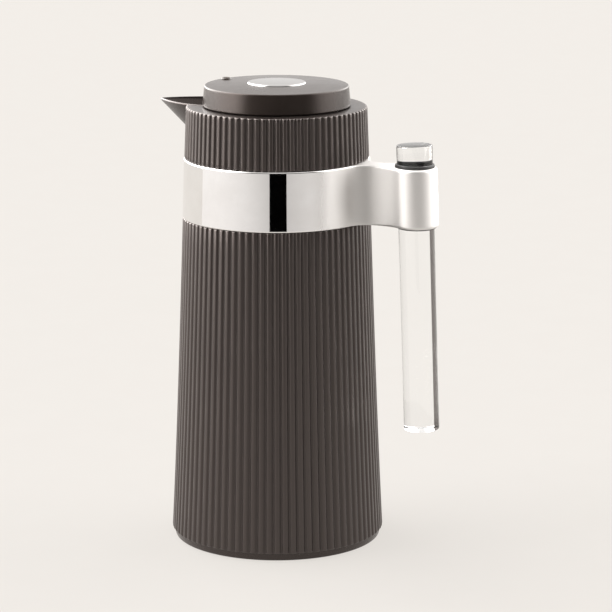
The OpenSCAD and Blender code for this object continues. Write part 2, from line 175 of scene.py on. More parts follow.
def make(name, points, faces, material, sharp=35):
    """A mesh object from points in millimetres, shaded as shade says."""
    mesh = bpy.data.meshes.new(name)
    mesh.from_pydata([tuple(float(c) * MM for c in p) for p in points], [], faces)
    mesh.validate()
    obj = bpy.data.objects.new(name, mesh)
    bpy.context.collection.objects.link(obj)
    mesh.materials.append(material)
    shade(obj, sharp)
    return obj


def shade(obj, sharp=35):
    """Shades a mesh smooth but for edges sharper than sharp degrees."""
    mesh = obj.data
    mesh.polygons.foreach_set("use_smooth", [True] * len(mesh.polygons))
    mesh.set_sharp_from_angle(angle=math.radians(sharp))


def bands(count, rings, closed):
    """Quads between neighbouring rings of count points; closed joins the last ring to the first."""
    faces = []
    for k in range(rings if closed else rings - 1):
        low, high = k * count, (k + 1) % rings * count
        for i in range(count):
            j = (i + 1) % count
            faces.append((low + i, low + j, high + j, high + i))
    return faces


def skin(rings, capped=True):
    """Points and faces of a surface over rings of points, with a flat face on each end."""
    count = len(rings[0])
    faces = bands(count, len(rings), closed=not capped)
    if capped:
        faces.append(tuple(reversed(range(count))))
        faces.append(tuple(range((len(rings) - 1) * count, len(rings) * count)))
    return np.concatenate(rings), faces


def arc(centre, radius, start, stop, steps):
    """Points on an arc, in degrees, both ends included."""
    angles = np.radians(np.linspace(start, stop, steps))
    return np.column_stack([centre[0] + radius * np.cos(angles),
                            centre[1] + radius * np.sin(angles)])


def rounded(corners, steps=5):
    """A closed outline of (r, z, radius) corners, with an arc at each corner that has a radius.

    Known fault: slerp gives vectors of length 1, so each arc is drawn with a radius of 1 mm round
    the right centre, whatever radius its corner states."""
    outline = []
    for i, (x, z, radius) in enumerate(corners):
        here = Vector((x, z))
        if radius <= 0:
            outline.append(tuple(here))
            continue
        before = (Vector(corners[i - 1][:2]) - here).normalized()
        after = (Vector(corners[(i + 1) % len(corners)][:2]) - here).normalized()
        half = before.angle(after) / 2
        centre = here + (before + after).normalized() * radius / math.sin(half)
        start = here + before * radius / math.tan(half) - centre
        stop = here + after * radius / math.tan(half) - centre
        for k in range(steps + 1):
            outline.append(tuple(centre + start.slerp(stop, k / steps)))
    return outline


def turned(outline, segments=192):
    """Points and faces of a closed outline of (r, z) turned round the Z axis.

    Points on the axis are shared."""
    points, faces, columns = [], [], []
    for r, z in outline:
        on_axis = abs(r) < 1e-6
        first = len(points)
        columns.append([first] * segments if on_axis else range(first, first + segments))
        for i in range(1 if on_axis else segments):
            a = TURN * i / segments
            points.append((r * math.cos(a), r * math.sin(a), z))
    for k in range(len(outline)):
        here, after = columns[k], columns[(k + 1) % len(outline)]
        for i in range(segments):
            j = (i + 1) % segments
            face = list(dict.fromkeys((here[i], here[j], after[j], after[i])))
            if len(face) > 2:
                faces.append(tuple(face))
    return np.array(points), faces


def outward(outline):
    """The outline, in the direction that makes turned faces look outward."""
    area = sum(a[0] * b[1] - b[0] * a[1] for a, b in zip(outline, outline[1:] + outline[:1]))
    return outline if area > 0 else outline[::-1]


def turned_corners(corners, segments=192, steps=5):
    """Points and faces of a turned solid, from the (r, z, radius) corners of its half section."""
    return turned(outward(rounded(corners, steps)), segments)


def cylinder(radius, low, high, segments):
    """Points and faces of a plain cylinder round the Z axis, facing outward."""
    return turned([(0, low), (radius, low), (radius, high), (0, high)], segments)


def apply_modifiers(obj):
    """The object's mesh with its modifiers applied."""
    graph = bpy.context.evaluated_depsgraph_get()
    mesh = bpy.data.meshes.new_from_object(obj.evaluated_get(graph))
    old = obj.data
    obj.modifiers.clear()
    obj.data = mesh
    bpy.data.meshes.remove(old)


def cut(obj, points, faces, sharp=35):
    """Cuts the shape given by points and faces out of obj."""
    cutter = make("cutter", points, faces, obj.data.materials[0])
    modifier = obj.modifiers.new("cut", "BOOLEAN")
    modifier.object = cutter
    modifier.operation = "DIFFERENCE"
    modifier.solver = "EXACT"
    apply_modifiers(obj)
    mesh = cutter.data
    bpy.data.objects.remove(cutter)
    bpy.data.meshes.remove(mesh)
    shade(obj, sharp)


def weigh_normals(obj):
    """Keeps large flat and round faces true, so that only the rounded edges bend the light."""
    modifier = obj.modifiers.new("normals", "WEIGHTED_NORMAL")
    modifier.keep_sharp = True
    modifier.weight = 60


def join(obj, *others):
    """One object from several."""
    with bpy.context.temp_override(active_object=obj, selected_editable_objects=[obj, *others]):
        bpy.ops.object.join()
    return obj


def place_along_rod(points):
    """Points from the rod's own frame to the jug's.

    The rod's frame has Z along the rod and its origin half way up the strap."""
    turn_y = np.array(Matrix.Rotation(-lean, 3, "Y"))
    return np.asarray(points) @ turn_y.T + np.array([rod_x, 0, strap_mid])


def lay_along_x(points, x):
    """Points turned from the Z axis to the X axis, from x onwards and half way up the strap."""
    return points[:, [2, 1, 0]] * [1, -1, 1] + [x, 0, strap_mid]


def finish_piece(obj, body, slot_name, *nodes):
    """Puts a piece on its body and hides the CAD nodes that it stands for."""
    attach(obj, body)
    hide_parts(*nodes)


# ---------------------------------------------------------------- materials

class Nodes:
    """A node material, built by short calls that each return an output socket."""

    def __init__(self, name, **constants):
        self.material = bpy.data.materials.new(name)
        self.material.use_nodes = True
        self.tree = self.material.node_tree
        self.shader = self.tree.nodes["Principled BSDF"]
        for socket, value in constants.items():
            self.shader.inputs[socket.replace("_", " ")].default_value = value
        self.coords = self.tree.nodes.new("ShaderNodeTexCoord").outputs["Object"]

    def add(self, kind, inputs=None, output=0, **settings):
        """A new node with its inputs linked or set; returns one of its outputs."""
        node = self.tree.nodes.new(kind)
        for key, value in settings.items():
            setattr(node, key, value)
        for key, value in (inputs or {}).items():
            if isinstance(value, bpy.types.NodeSocket):
                self.tree.links.new(value, node.inputs[key])
            else:
                node.inputs[key].default_value = value
        return node.outputs[output]

    def stretched(self, x, y, z):
        """Object coordinates, scaled along each axis."""
        return self.add("ShaderNodeMapping", {"Vector": self.coords, "Scale": (x, y, z)})

    def noise(self, scale, detail=4, roughness=0.55, coords=None):
        """Noise about 0.5, with scale features per metre."""
        return self.add("ShaderNodeTexNoise", {"Vector": coords or self.coords, "Scale": scale,
                                               "Detail": detail, "Roughness": roughness})

    def ramp(self, value, low, high, start=0.3, stop=0.7):
        """Maps value from start..stop to low..high."""
        return self.add("ShaderNodeMapRange", {"Value": value, "From Min": start, "From Max": stop,
                                               "To Min": low, "To Max": high})

    def mix(self, factor, a, b):
        """A colour between a and b."""
        node = self.tree.nodes.new("ShaderNodeMix")
        node.data_type = "RGBA"
        self.tree.links.new(factor, node.inputs[0])
        for socket, value in ((node.inputs[6], a), (node.inputs[7], b)):
            if isinstance(value, bpy.types.NodeSocket):
                self.tree.links.new(value, socket)
            else:
                socket.default_value = (*value, 1)
        return node.outputs[2]

    def times(self, a, b):
        """The product of two values."""
        return self.add("ShaderNodeMath", {0: a, 1: b}, operation="MULTIPLY")

    def plus(self, a, b):
        """The sum of two values."""
        return self.add("ShaderNodeMath", {0: a, 1: b}, operation="ADD")

    def worn(self, start, stop):
        """0 on flat faces and 1 on crests and outer edges."""
        pointiness = self.add("ShaderNodeNewGeometry", output="Pointiness")
        return self.ramp(pointiness, 0, 1, start, stop)

    def bump(self, height, strength, distance):
        """A normal that follows height, with distance in metres."""
        return self.add("ShaderNodeBump", {"Height": height, "Strength": strength,
                                           "Distance": distance})

    def to(self, **sockets):
        """Links values to the shader's sockets and returns the finished material."""
        for socket, value in sockets.items():
            self.tree.links.new(value, self.shader.inputs[socket.replace("_", " ")])
        return self.material


def shaded(colour, factor):
    """The colour, darker or lighter by a factor."""
    return tuple(c * factor for c in colour)


def moulded_plastic(name, colour, roughness, grain=0.25, wear=0.12, marks=0.05, dust_and_shade=0.0,
                    **constants):
    """Moulded plastic: spark-eroded grain, slow drifts of tone, polished edges and handling marks.

    Painted shade darkens the hollows between ribs against their crests, and dust makes the hollows
    rougher."""
    grain_scale = 2600
    n = Nodes(name, **constants)
    drift = n.noise(22, 3)
    speckle = n.noise(grain_scale, 2)
    worn = n.worn(0.505, 0.56)
    tone = n.mix(n.ramp(drift, 0, 1), shaded(colour, 0.9), shaded(colour, 1.08))
    tone = n.mix(n.ramp(speckle, 0, 0.35), tone, shaded(colour, 1.3))
    tone = n.mix(n.times(worn, wear), tone, shaded(colour, 1.9))
    handled = n.ramp(n.noise(160, 6, 0.75), -marks, marks)
    rough = n.plus(n.ramp(drift, roughness - 0.02, roughness + 0.02), handled)
    if dust_and_shade:
        hollow = n.add("ShaderNodeAttribute", output="Fac", attribute_name="hollow")
        # Painted shade: the colour darkens in the hollows between ribs, where shade falls; the added
        # roughness below stands for dust.
        tone = n.mix(n.times(hollow, dust_and_shade), tone, shaded(colour, 0.3))
        rough = n.plus(rough, n.times(hollow, dust_and_shade * 0.15))
    height = n.plus(speckle, n.times(n.noise(420, 3), 0.5))
    return n.to(Base_Color=tone, Roughness=rough, Normal=n.bump(height, grain, 0.00006))


def chrome_plate(name, shine=1.0, haze=0.0, satin_from=None):
    """Bright plating: a mirror with faint wiping marks. It turns satin beyond satin_from, along X."""
    satin_fade = 0.014
    satin_tone = (0.74, 0.725, 0.71)
    n = Nodes(name, Metallic=1.0)
    smudge = n.noise(45, 5, 0.6)
    wipes = n.noise(240, 5, 0.7, n.stretched(1, 1, 6))
    tone = n.mix(n.ramp(smudge, 0, 1), shaded((0.83, 0.815, 0.80), shine),
                 shaded((0.89, 0.88, 0.87), shine))
    rough = n.plus(n.ramp(smudge, haze + 0.025, haze + 0.06), n.ramp(wipes, -0.01, 0.025, 0.45, 0.8))
    if satin_from:
        x = n.add("ShaderNodeSeparateXYZ", {"Vector": n.coords})
        satin = n.ramp(x, 0, 1, satin_from, satin_from + satin_fade)
        tone = n.mix(satin, tone, satin_tone)
        rough = n.plus(rough, n.times(satin, 0.5))
    ripple = n.noise(38, 2)
    return n.to(Base_Color=tone, Roughness=rough, Normal=n.bump(ripple, 0.12, 0.0002))


def clear_acrylic(name):
    """Polished clear rod: faint hairline scratches along its length."""
    n = Nodes(name, IOR=1.49)
    n.shader.inputs["Transmission Weight"].default_value = 1.0
    hairs = n.noise(700, 4, 0.7, n.stretched(1, 1, 0.05))
    haze = n.noise(60, 4)
    tone = n.mix(n.ramp(haze, 0, 1), (0.985, 0.99, 0.985), (1.0, 1.0, 1.0))
    rough = n.plus(n.ramp(hairs, 0.0, 0.03, 0.6, 0.8), n.ramp(haze, 0.0, 0.012))
    return n.to(Base_Color=tone, Roughness=rough, Normal=n.bump(hairs, 0.03, 0.00005))


def rubber(name):
    """Black rubber with a bloom of pale dust."""
    n = Nodes(name)
    dust_and_shade = n.noise(90, 6, 0.7)
    fine = n.noise(3200, 2)
    tone = n.mix(n.ramp(dust_and_shade, 0, 1, 0.45, 0.75), (0.012, 0.012, 0.012), (0.03, 0.029, 0.028))
    return n.to(Base_Color=tone, Roughness=n.ramp(dust_and_shade, 0.5, 0.68),
                Normal=n.bump(fine, 0.3, 0.00008))


def silicone(name):
    """Milky silicone that lets a little light in."""
    n = Nodes(name, IOR=1.41)
    n.shader.inputs["Subsurface Weight"].default_value = 0.25
    n.shader.inputs["Subsurface Radius"].default_value = (0.003, 0.0027, 0.0024)
    cloud = n.noise(120, 5)
    tone = n.mix(n.ramp(cloud, 0, 1), (0.68, 0.67, 0.62), (0.78, 0.77, 0.73))
    return n.to(Base_Color=tone, Roughness=n.ramp(cloud, 0.38, 0.52),
                Normal=n.bump(n.noise(1500, 2), 0.15, 0.00006))


def brushed_steel(name):
    """Plain steel with fine lines along Z and faint stains."""
    n = Nodes(name, Metallic=1.0)
    lines = n.noise(900, 5, 0.7, n.stretched(1, 1, 0.08))
    stain = n.noise(80, 4)
    tone = n.mix(n.ramp(stain, 0, 1), (0.52, 0.515, 0.51), (0.62, 0.615, 0.61))
    return n.to(Base_Color=tone, Roughness=n.ramp(lines, 0.2, 0.42),
                Normal=n.bump(lines, 0.12, 0.00005))


def silvered_glass(name):
    """Glass with silver behind it: a mirror with slow waves from blowing and small pale freckles."""
    n = Nodes(name, Metallic=1.0, Coat_Weight=1.0, Coat_Roughness=0.03, Coat_IOR=1.5)
    wave = n.noise(28, 2, 0.5, n.stretched(1, 1, 0.5))
    freckle = n.noise(350, 5, 0.7)
    tone = n.mix(n.ramp(freckle, 0, 1, 0.58, 0.75), (0.80, 0.81, 0.83), (0.62, 0.60, 0.55))
    return n.to(Base_Color=tone, Roughness=n.ramp(freckle, 0.05, 0.16, 0.4, 0.75),
                Normal=n.bump(wave, 0.25, 0.0006))


graphite = (0.011, 0.0082, 0.0074)
lid_graphite = (0.019, 0.0145, 0.0125)
off_white = (0.60, 0.59, 0.54)
soft_black = (0.018, 0.016, 0.015)
brown_black = (0.030, 0.020, 0.014)
warm = (1.0, 0.87, 0.82, 1)

# ribbed_casing, strap_plate and button_plate are variants of the material of their slot
looks = {
    "graphite_casing": moulded_plastic("graphite_casing", graphite, 0.26, IOR=1.6,
                                       Specular_Tint=warm),
    # The casing's hollows between ribs get painted shade in their colour, and dust makes them rougher.
    "ribbed_casing": moulded_plastic("ribbed_casing", graphite, 0.32, grain=0.1, wear=0.0,
                                     marks=0.015, dust_and_shade=0.45, IOR=1.72, Specular_Tint=warm),
    "graphite_lid": moulded_plastic("graphite_lid", lid_graphite, 0.245, grain=0.15, wear=0.3,
                                    marks=0.03, IOR=1.42, Specular_Tint=warm),
    "chrome_plate": chrome_plate("chrome_plate"),
    "strap_plate": chrome_plate("strap_plate", satin_from=0.040),
    "button_plate": chrome_plate("button_plate", shine=0.50, haze=0.04),
    "clear_acrylic": clear_acrylic("clear_acrylic"),
    "black_rubber": rubber("black_rubber"),
    "silicone_seal": silicone("silicone_seal"),
    "natural_plastic": moulded_plastic("natural_plastic", off_white, 0.42, grain=0.12, wear=0.1),
    "stopper_plastic": moulded_plastic("stopper_plastic", soft_black, 0.42, grain=0.2, wear=0.2),
    "silvered_glass": silvered_glass("silvered_glass"),
    "fastener_steel": brushed_steel("fastener_steel"),
    "mark_black": moulded_plastic("mark_black", brown_black, 0.36, grain=0.2, wear=0.1),
}


# ---------------------------------------------------------------- casing and collar, both ribbed

rib_angles = TURN * np.arange(rib_count * points_per_rib) / (rib_count * points_per_rib)
# 1 on a crest and 0 in a valley: the crests are broad with round shoulders, the grooves narrow
rib_crests = 1 - ((1 - np.cos(rib_angles * rib_count)) / 2) ** groove_sharpness


def rib_ring(r, z, depth):
    """A ring of points with its crests at radius r and its valleys deeper by depth."""
    radii = r - depth * (1 - rib_crests)
    return np.column_stack([radii * np.cos(rib_angles), radii * np.sin(rib_angles),
                            np.full(len(radii), z)])


def mark_hollows(obj, wall_rings):
    """Marks the hollows between the ribs of the first rings of a mesh, for the painted shade and the
    dust in its material.
    """
    hollow = obj.data.attributes.new("hollow", "FLOAT", "POINT")
    count = len(hollow.data) // len(rib_angles)
    marks = [(1 - rib_crests) * (k < wall_rings) for k in range(count)]
    hollow.data.foreach_set("value", np.concatenate(marks))


def rib_wall(z0, z1, radius, low_edge, high_edge):
    """Rings of a ribbed wall from z0 to z1, with the ends of the ribs rounded off."""
    def end_ring(z, t):
        return rib_ring(radius(z) - rib_depth * (1 - math.sin(t)), z, rib_depth * math.sin(t))

    quarter = np.radians(np.linspace(0, 90, rib_end_steps))
    straight = np.linspace(z0 + low_edge, z1 - high_edge, 16)[1:-1]
    return ([end_ring(z0 + low_edge * (1 - math.cos(t)), t) for t in quarter]
            + [rib_ring(radius(z), z, rib_depth) for z in straight]
            + [end_ring(z1 - high_edge * (1 - math.cos(t)), t) for t in reversed(quarter)])


def make_casing():
    """The ribbed wall, the smooth seat of the strap above it and the collar's spigot."""
    seat_low = strap_r_low - strap_t - seat_gap
    seat_high = strap_r_high - strap_t - seat_gap
    spigot_r, spigot_top, chamfer = 52.6, shell_high.z, 0.5
    thread_r, thread_top = base_r - 3.9, 18
    inside = [(seat_low, strap_z), (seat_high, strap_top), (spigot_r, strap_top),
              (spigot_r, spigot_top - chamfer), (spigot_r - chamfer, spigot_top),
              (spigot_r - casing_t, spigot_top), (spigot_r - casing_t, strap_top - 2),
              (seat_high - casing_t, strap_top - 6), (seat_low - casing_t, strap_z)]
    heights = np.linspace(strap_z - 8, thread_top + 4, 8)
    inside += [(body_r(z) - rib_depth - casing_t, z) for z in heights]
    inside += [(thread_r, thread_top), (thread_r, foot_z)]
    wall = rib_wall(foot_z, strap_z, body_r, 1.1, 0.9)
    rings = wall + [rib_ring(r, z, 0) for r, z in inside]
    casing = make("ribbed_casing", *skin(rings, capped=False), looks["ribbed_casing"], 40)
    mark_hollows(casing, len(wall))
    finish_piece(casing, "jug", "graphite_casing", "body_shell")


def spout_half(d):
    """Half width of the spout at a distance d from its tip: it bows out and then runs straight."""
    bow = 36
    e = min(d, bow)
    return 1.05 * e - 0.0145 * e * e


def spout_top(d):
    """Height of the spout's rim, which dips at the very tip."""
    return collar_top + spout_rise * math.sin(min(1, d / 3) * math.pi / 2)


def spout_curve(d, inset, top, floor, across):
    """Section of the spout: a V with a soft keel, no lower than floor."""
    softness = 1.25
    half = max(0.01, spout_half(d) - inset)
    depth = max(0.02, (d - 1.4 * inset) * keel_slope)
    z = top - depth * (1 - np.abs(across) ** softness)
    return np.column_stack([np.full(len(across), d - spout_reach), half * across,
                            np.maximum(z, floor)])


def outer_floor(d):
    """The spout's underside levels out to the channel's floor inside the collar only."""
    well_below = 40
    d_wall = spout_reach - wall_in
    return spout_floor - well_below * min(1, max(0, d_wall - 0.3 - d))


def make_spout(d_end):
    """The spout and its channel as one trough with a rounded rim, from the tip to the funnel."""
    across = np.linspace(-1, 1, 41)
    bend_length = 5
    rings = []
    # The rings stand closer together towards the tip
    for share in np.linspace(0, 1, 44):
        d = spout_start + (d_end - spout_start) * share ** 1.35
        half_out, half_in = spout_half(d), max(0.01, spout_half(d) - spout_wall)
        lip = (half_out - half_in) / 2
        top = spout_top(d)
        outer = spout_curve(d, 0, top - lip, outer_floor(d), across)
        inner = spout_curve(d, spout_wall, top - lip, spout_floor + spout_wall, across[::-1])
        rim = arc((half_out - lip, top - lip), lip, 0, 180, 9)[1:-1]
        right = np.column_stack([np.full(len(rim), d - spout_reach), rim])
        left = right[::-1] * [1, -1, 1]
        ring = np.concatenate([outer, right, inner, left])
        # The last stretch bends onto the funnel's round wall
        bend = min(1, max(0, (d - d_end + bend_length) / bend_length))
        ring[:, 0] += bend * (-np.sqrt(opening_r ** 2 - ring[:, 1] ** 2) - ring[:, 0])
        rings.append(ring)
    return make("spout", *skin(rings), looks["graphite_casing"], 40)


def make_collar():
    """The ribbed collar with its deck, the thread's crest inside and the spout let into it."""
    d_end = spout_reach - opening_r
    deck = collar_top - 2.5
    edge, bevel = 0.5, 0.15
    crest_in, crest_low, crest_high = wall_in - 1.2, collar_z + 5, collar_z + 6.2
    groove_r = collar_crest(collar_top) - rib_depth
    inside = [(groove_r - 3, collar_top), (opening_r + edge, collar_top),
              (opening_r + bevel, collar_top - bevel), (opening_r, collar_top - edge),
              (opening_r, deck), (wall_in, deck), (wall_in, crest_high), (crest_in, crest_high),
              (crest_in, crest_low), (wall_in, crest_low), (wall_in, collar_z)]
    wall = rib_wall(collar_z, collar_top, collar_crest, 1.1, 0.8)
    points, faces = skin(wall + [rib_ring(r, z, 0) for r, z in inside], capped=False)
    points = points @ np.array(Matrix.Rotation(-collar_phase, 3, "Z"))
    collar = make("spout_collar", points, faces, looks["ribbed_casing"], 40)
    mark_hollows(collar, len(wall))
    # Where the trough enters, the collar is cut half way into the trough's wall
    across = np.linspace(-1, 1, 25)
    sections = []
    for d in [*np.linspace(spout_reach - collar_r - 2, d_end, 12), d_end + 8]:
        section = spout_curve(min(d, d_end), spout_wall / 2, spout_top(d) - 0.4,
                              spout_floor + spout_wall / 2, across)
        section[:, 0] = d - spout_reach
        lifted = section[[-1, 0]] + [0, 0, 8]
        sections.append(np.concatenate([section, lifted]))
    cut(collar, *skin(sections), sharp=40)
    join(collar, make_spout(d_end))
    finish_piece(collar, "jug", "graphite_casing", "shoulder_collar")


# ---------------------------------------------------------------- foot

def make_foot():
    """The smooth foot: a floor with the rubber ring's groove, a skirt in the casing, a plug's boss."""
    foot_r = cap_high.y
    skirt_r, skirt_t, skirt_top = foot_r - 2.6, 2.2, cap_high.z - 0.5
    plug_r, plug_t, plug_top = 16.3, 2.7, 16.5
    groove_in, groove_out, groove_top = 58.5, 62.5, 2.1
    rim_z, floor_low, floor_high = 0.5, 3, 5.4
    top = foot_z - hairline
    corners = [(plug_r, floor_low, 0.4), (groove_in - 2, floor_low, 0.6),
               (groove_in - 1, rim_z, 0.5), (groove_in, rim_z, 0.3), (groove_in, groove_top, 0),
               (groove_out, groove_top, 0), (groove_out, rim_z, 0.3), (foot_r - 0.2, rim_z, 0.7),
               (foot_r, top, 0.3), (skirt_r, top, 0), (skirt_r, skirt_top, 0.5),
               (skirt_r - skirt_t, skirt_top, 0.5), (skirt_r - skirt_t, floor_high, 1),
               (plug_r + plug_t, floor_high, 1), (plug_r + plug_t, plug_top, 0.5),
               (plug_r, plug_top, 0.5)]
    points, faces = turned_corners(corners)
    foot = make("smooth_foot", points, faces, looks["graphite_casing"])
    finish_piece(foot, "jug", "graphite_casing", "base_cap")


# ---------------------------------------------------------------- strap, bushes and rod

def strap_outline(z):
    """The strap's outline seen from above, with its outward normals. The arm leans with the rod."""
    r = strap_r(z)
    shift = (z - strap_mid) * math.tan(lean)
    waist, eye = waist_x - shift, rod_x - shift
    # Radii of the hollows from band to waist and from waist to eye, so that each meets both smoothly
    near = (waist ** 2 / (r - waist_half) - r - waist_half) / 2
    far = ((eye - waist) ** 2 / (eye_r - waist_half) - eye_r - waist_half) / 2
    to_far = math.degrees(math.atan2(waist_half + far, waist - eye))
    to_near = math.degrees(math.atan2(waist_half + near, waist))
    # Centre, radius, start, stop, steps, and whether it bulges (1) or is hollow (-1)
    arcs = [((eye, 0), eye_r, 0, to_far, 28, 1),
            ((waist, waist_half + far), far, to_far - 180, -90, 16, -1),
            ((waist, waist_half + near), near, -90, to_near - 180, 14, -1),
            ((0, 0), r, to_near, 180, 130, 1)]
    points = np.concatenate([arc(centre, radius, a, b, steps)[:-1]
                             for centre, radius, a, b, steps, _ in arcs])
    normals = np.concatenate([arc((0, 0), sign, a, b, steps)[:-1]
                              for _, _, a, b, steps, sign in arcs])
    mirror = [1, -1]
    points = np.concatenate([points, [(-r, 0)], points[:0:-1] * mirror])
    normals = np.concatenate([normals, [(-1, 0)], normals[:0:-1] * mirror])
    return points, normals, near


def make_strap():
    """The band and its arm in one, bored for the casing, the rod and the hidden screw."""
    rings = []
    round_start, round_length = waist_x - 8, 26
    quarter = np.radians(np.linspace(0, 90, 7))
    for end, way, steps in ((strap_z, 1, quarter), (strap_top, -1, quarter[::-1])):
        for t in steps:
            points, normals, _ = strap_outline(end + way * 1.2 * (1 - math.cos(t)))
            # The band's edges are crisp, the arm's grow rounder towards the eye
            towards_eye = np.clip((points[:, 0] - round_start) / round_length, 0, 1)
            edge = 0.9 + 1.1 * towards_eye * towards_eye * (3 - 2 * towards_eye)
            inset = points - normals * (edge * (1 - math.sin(t)))[:, None]
            rings.append(np.column_stack([inset, end + way * edge * (1 - math.cos(t))]))
        if way == 1:
            for z in np.linspace(strap_z + 4, strap_top - 4, 5):
                points, _, _ = strap_outline(z)
                rings.append(np.column_stack([points, np.full(len(points), z)]))
    strap = make("polished_strap", *skin(rings), looks["strap_plate"], 30)
    in_low, in_high = strap_r_low - strap_t, strap_r_high - strap_t
    inner = [(0, strap_z - 1), (in_low, strap_z - 1), (in_low, strap_z), (in_high, strap_top),
             (in_high, strap_top + 1), (0, strap_top + 1)]
    cut(strap, *turned(inner))
    bore, faces = cylinder(eye_bore, -30, 30, 96)
    cut(strap, place_along_rod(bore), faces)
    # The pocket between casing and arm, open below, and the hole and seat of the hidden screw
    _, _, near = strap_outline(strap_mid)
    pocket_start, pocket_end = 56, 65
    pocket_x = np.linspace(pocket_start, pocket_end, 12)
    pocket_y = waist_half + near - np.sqrt((near + strap_t) ** 2 - (pocket_x - waist_x) ** 2)
    edge = np.column_stack([pocket_x, pocket_y])
    loop = np.concatenate([edge, edge[::-1] * [1, -1]])
    ends = [np.column_stack([loop, np.full(len(loop), z)])
            for z in (strap_top - strap_t, strap_z - 1)]
    cut(strap, *skin(ends))
    for radius, reach in ((2.2, 30), (4.6, 8.6)):
        points, faces = cylinder(radius, 0, reach, 32)
        cut(strap, lay_along_x(points, 60), faces, 30)
    weigh_normals(strap)
    finish_piece(strap, "jug", "chrome_plate", "strap_band")


def make_bushes():
    """Each bush is a thin sleeve between rod and arm, with a soft edge where it stands out."""
    for name, node, low, high in (("upper_bush", "rod_bush_upper", bush_low.z, bush_high.z),
                                  ("lower_bush", "rod_bush_lower", under_low.z, under_high.z)):
        inner, outer = rod_r + hairline, eye_bore - hairline
        low, high = low - strap_mid, high - strap_mid
        corners = [(inner, low, 0.1), (outer, low, 0.15), (outer, high, 0.24), (inner, high, 0.24)]
        points, faces = turned_corners(corners, 128)
        # Its ends stay level with the arm's faces
        level = points[:, 2].copy()
        points = place_along_rod(points)
        points[:, 2] = level + strap_mid
        bush = make(name, points, faces, looks["black_rubber"])
        finish_piece(bush, "jug", "black_rubber", node)


def make_rod():
    """The clear rod, with the blind hole of the hidden screw."""
    edge = 0.9
    top = (rod_top - strap_mid) / math.cos(lean)
    corners = [(0, top, 0), (rod_r, top, edge), (rod_r, top - rod_len, edge),
               (0, top - rod_len, 0)]
    points, faces = turned_corners(corners, 160, 6)
    rod = make("clear_rod", place_along_rod(points), faces, looks["clear_acrylic"])
    hole, faces = cylinder(rod_hole_r, 0, rod_hole_deep, 32)
    cut(rod, lay_along_x(hole, rod_x - 20), faces)
    finish_piece(rod, "jug", "clear_acrylic", "handle_rod")


# ---------------------------------------------------------------- lid and button

def make_lid():
    """The lid's cap, with three bosses for the screws below and a recess for the dot above."""
    inside = lid_r - 2.5
    plate = guide_high.z + hairline
    corners = [(guide_r, plate, 0), (inside, plate, 1), (inside, lid_z, 0.3), (lid_r, lid_z, 0.5),
               (lid_r, lid_top, 1.6), (guide_r, lid_top, 0.35)]
    points, faces = turned_corners(corners, 256, 8)
    lid = make("round_lid", points, faces, looks["graphite_lid"])
    bosses, boss_ring, boss_r, boss_bore = 3, 38, 4, 1.55
    boss_z, boss_top = lid_z + 2.85, plate + 0.3
    corners = [(boss_bore, boss_z, 0.2), (boss_r, boss_z, 0.3), (boss_r, boss_top, 0),
               (boss_bore, boss_top, 0)]
    points, faces = turned_corners(corners, 48, 3)
    for i in range(bosses):
        place = Matrix.Rotation(TURN * i / bosses, 3, "Z") @ Vector((boss_ring, 0, 0))
        join(lid, make("boss", points + np.array(place), faces, looks["graphite_lid"]))
    sink = mark_low.z - 0.15
    recess, faces = cylinder(mark_r + hairline, sink, lid_top + 1, 48)
    cut(lid, recess + [mark_mid.x, mark_mid.y, 0], faces)
    weigh_normals(lid)
    finish_piece(lid, "lid", "graphite_lid", "lid_cap")


def make_mark():
    """The dot on the lid, a thin disc in its recess."""
    corners = [(0, mark_low.z, 0), (mark_r, mark_low.z, 0), (mark_r, mark_high.z, 0.12),
               (0, mark_high.z, 0)]
    points, faces = turned_corners(corners, 64, 4)
    dot = make("lid_dot", points + [mark_mid.x, mark_mid.y, 0], faces, looks["mark_black"])
    finish_piece(dot, "lid", "mark_black", "lid_mark")


def make_button():
    """A shallow cup: a slightly domed top with a rounded edge, a skirt and a hub for the stem."""
    crown = 0.35
    rim, under = button_top - crown, button_top - 4.55
    hub_r, stem_r, hub_end = 5.5, 3.02, under - 6.8
    skirt_in, skirt_out, skirt_z = button_r - 1.8, button_r + 1.9, button_low.z
    flange_top = skirt_z + 1.2
    corners = [(0, under, 0), (stem_r, under, 0), (stem_r, hub_end, 0.2), (hub_r, hub_end, 0.4),
               (hub_r, under, 1), (skirt_in, under, 1), (skirt_in, skirt_z, 0),
               (skirt_out, skirt_z, 0.2), (skirt_out, flange_top, 0.2), (button_r, flange_top, 0),
               (button_r, rim, 0.9)]
    dome = [(button_r * s, rim + crown * (1 - s * s), 0)
            for s in (0.9, 0.75, 0.6, 0.45, 0.3, 0.15, 0)]
    points, faces = turned_corners(corners + dome, 256, 7)
    button = make("press_button", points, faces, looks["button_plate"])
    finish_piece(button, "button", "chrome_plate", "push_button")


def make_spring():
    """A round-wire coil spring between the stopper and the button."""
    wire, coil, turns, per_turn = 0.7, 9, 7.5, 48
    low, high = spring_low.z + wire, spring_high.z - wire
    steps = int(turns * per_turn)
    rings = []
    for i in range(steps + 1):
        turned_by = i / per_turn
        # The pitch is small at both ends and largest half way
        climb = turned_by - math.sin(TURN * turned_by / turns) * turns / TURN * 0.75
        z = low + (high - low) * climb / turns
        a = TURN * turned_by
        section = arc((coil, z), wire, 0, 360, 13)[:-1]
        rings.append(np.column_stack([section[:, 0] * math.cos(a), section[:, 0] * math.sin(a),
                                      section[:, 1]]))
    points, faces = skin([ring[::-1] for ring in rings])
    spring = make("coil_spring", points, faces, looks["fastener_steel"], 50)
    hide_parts("return_spring")
    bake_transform(spring)


def finish_carried_nodes():
    """The CAD nodes that keep their shape get the full material of their slot."""
    for part in frame["record"]["subparts"]:
        node = frame["nodes"][part["node"]]
        if node.hide_render:
            continue
        for material_slot in node.material_slots:
            material_slot.material = looks[part["material_slot"]]


# ---------------------------------------------------------------- floor, light and camera

